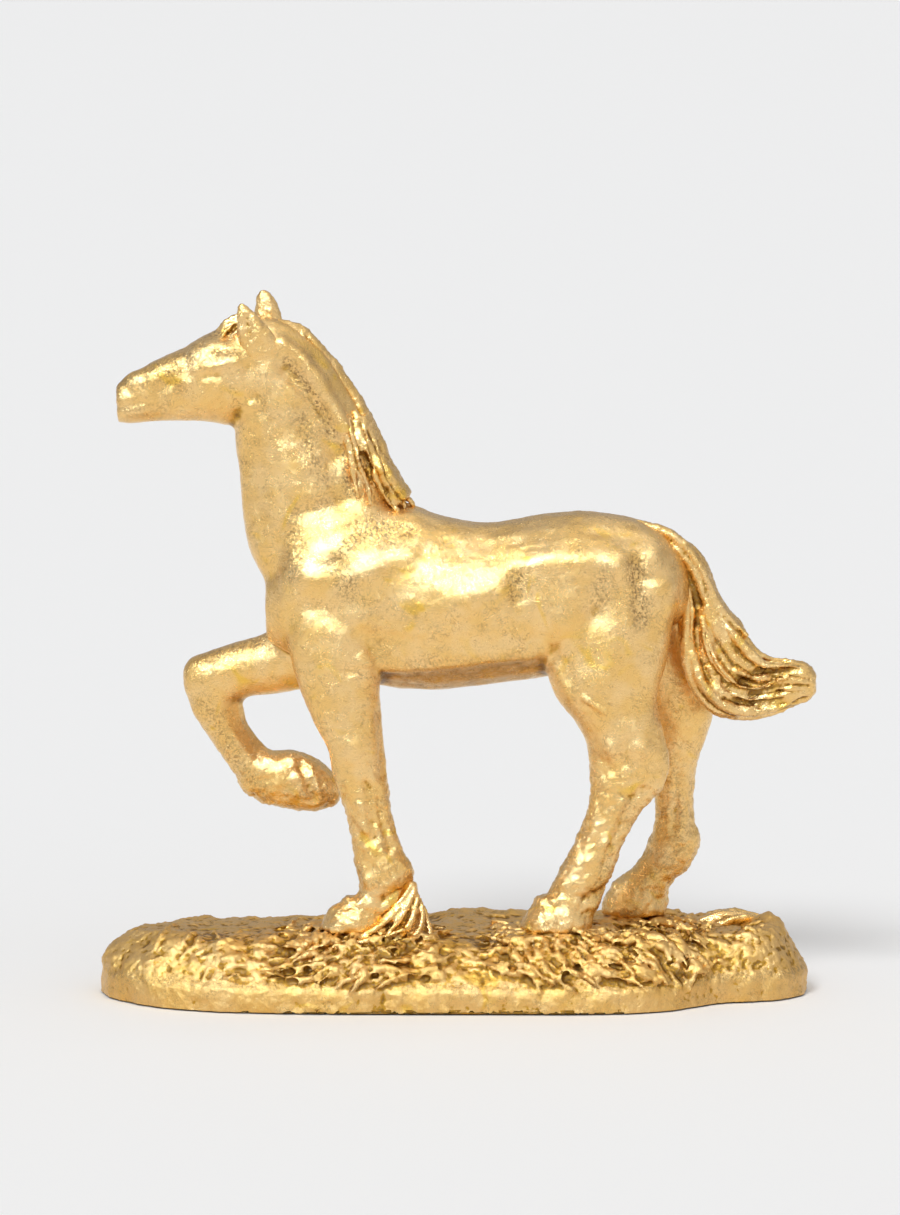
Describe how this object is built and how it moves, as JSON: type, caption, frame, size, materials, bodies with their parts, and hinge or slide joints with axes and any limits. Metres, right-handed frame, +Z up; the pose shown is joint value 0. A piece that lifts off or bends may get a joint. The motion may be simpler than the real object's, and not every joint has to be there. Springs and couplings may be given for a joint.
{
  "type": "horse figurine",
  "caption": "Gilded horse figurine walking with one foreleg raised, standing on a long rocky grass base with a felt underside.",
  "frame": {"origin": "on the surface the felt rests on, under the middle of the whole statuette's outline", "axes": "+Z up, the horse faces -X, its left side faces -Y"},
  "size_m": [0.172, 0.062, 0.1697],
  "materials": {
    "gilded_bronze": "antique gold leaf over a brown ground, burnished, rubbed and speckled",
    "bare_bronze": "bare cast bronze pin",
    "zinc_steel": "zinc plated",
    "fibreboard": "hard fibreboard",
    "felt": "dark wool felt"
  },
  "bodies": {
    "root": {"base_casting": "gilded_bronze", "grass_tuft_fore": "gilded_bronze", "grass_tuft_hind": "gilded_bronze", "torso_casting": "gilded_bronze", "neck_casting": "gilded_bronze", "head_casting": "gilded_bronze", "ear_left": "gilded_bronze", "ear_right": "gilded_bronze", "forelock": "gilded_bronze", "mane_crest": "gilded_bronze", "mane_locks": "gilded_bronze", "foreleg_left": "gilded_bronze", "foreleg_right": "gilded_bronze", "hind_leg_left": "gilded_bronze", "hind_leg_right": "gilded_bronze", "tail_dock": "gilded_bronze", "tail_switch": "gilded_bronze", "neck_dowel": "bare_bronze", "head_dowel": "bare_bronze", "foreleg_left_dowel": "bare_bronze", "foreleg_right_dowel": "bare_bronze", "hind_leg_left_dowel": "bare_bronze", "hind_leg_right_dowel": "bare_bronze", "tail_dowel": "bare_bronze", "hoof_stud_fore_left": "zinc_steel", "hoof_stud_hind_left": "zinc_steel", "hoof_stud_hind_right": "zinc_steel", "stud_washers": "zinc_steel", "stud_nuts": "zinc_steel", "board_screws": "zinc_steel", "bottom_board": "fibreboard", "felt_pad": "felt"}
  },
  "joints": []
}
